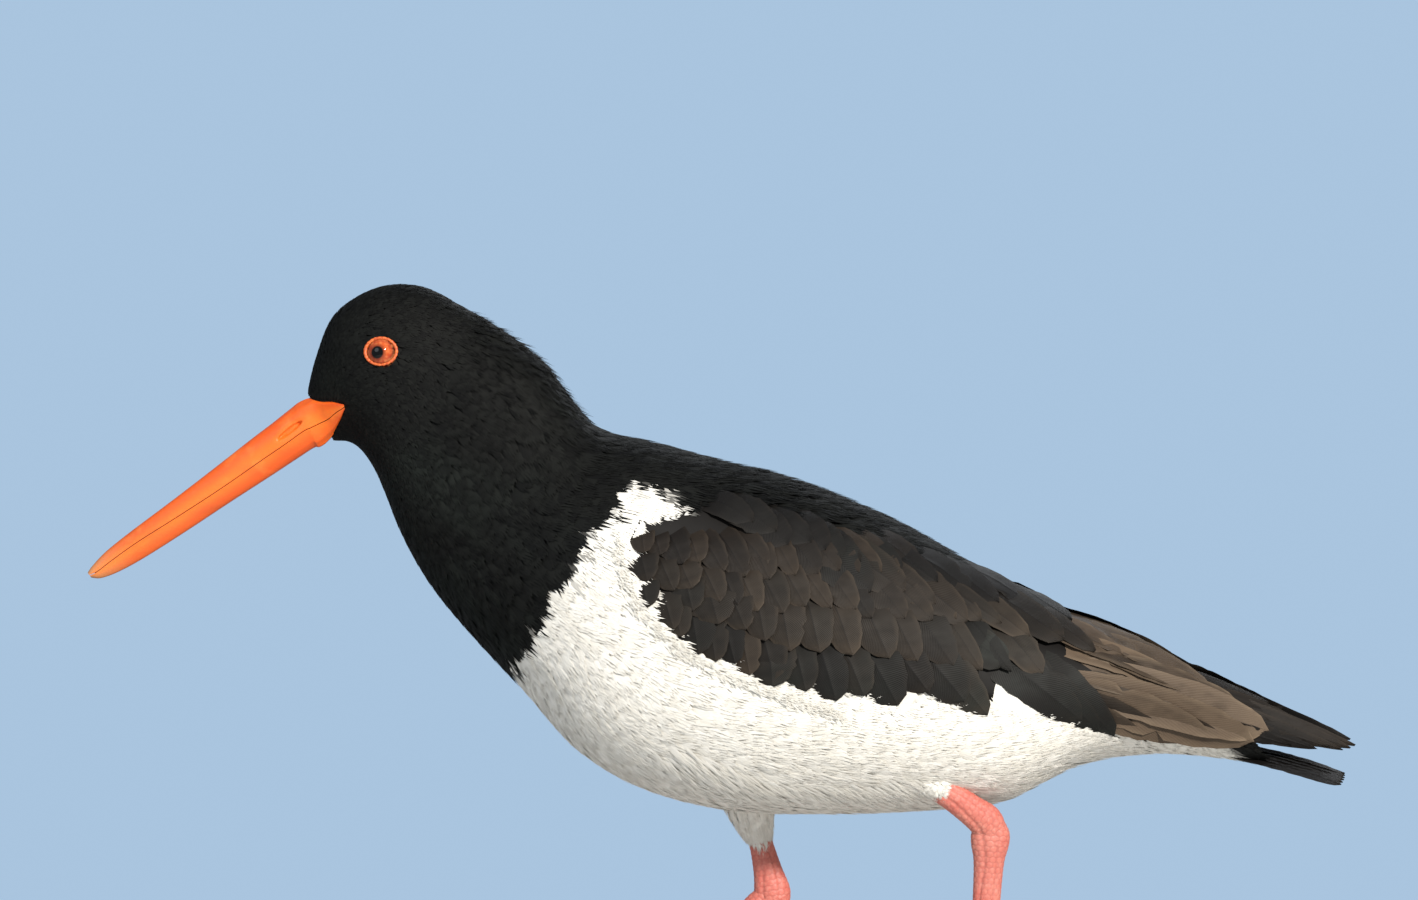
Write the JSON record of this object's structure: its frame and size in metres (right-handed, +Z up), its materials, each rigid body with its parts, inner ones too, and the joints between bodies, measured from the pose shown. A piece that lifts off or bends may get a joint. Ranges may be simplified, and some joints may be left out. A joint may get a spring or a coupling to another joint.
{
  "type": "oystercatcher",
  "caption": "Life-size model of a pied oystercatcher walking with its head lowered, with a long blade-like bill and folded wings.",
  "frame": {"origin": "on the floor, under the middle of the bird's length and width", "axes": "+Z up, the bird faces -X, and its left side is towards -Y"},
  "size_m": [0.3794, 0.0938, 0.2178],
  "materials": {
    "black_plumage": "soft black feathers with a faint sheen",
    "flight_feathers": "brown-black feathers with worn paler edges",
    "white_plumage": "soft white feathers",
    "bill": "smooth orange-red horn, paler at the tip",
    "eyelid": "bare orange skin",
    "eye": "wet red-orange iris with a black pupil",
    "leg": "pink scaly skin",
    "claw": "dark horn"
  },
  "bodies": {
    "root": {"head": "black_plumage", "neck": "black_plumage", "torso": "white_plumage", "tail": "black_plumage", "wing_left": "flight_feathers", "wing_right": "flight_feathers", "bill_upper": "bill", "bill_lower": "bill", "eye_left": "eye", "eye_right": "eye", "eyelid_left": "eyelid", "eyelid_right": "eyelid", "thigh_left": "white_plumage", "thigh_right": "white_plumage", "shank_left": "leg", "shank_right": "leg", "tarsus_left": "leg", "tarsus_right": "leg", "foot_left": "leg", "foot_right": "leg", "claw_left_inner": "claw", "claw_left_middle": "claw", "claw_left_outer": "claw", "claw_right_inner": "claw", "claw_right_middle": "claw", "claw_right_outer": "claw"}
  },
  "joints": []
}
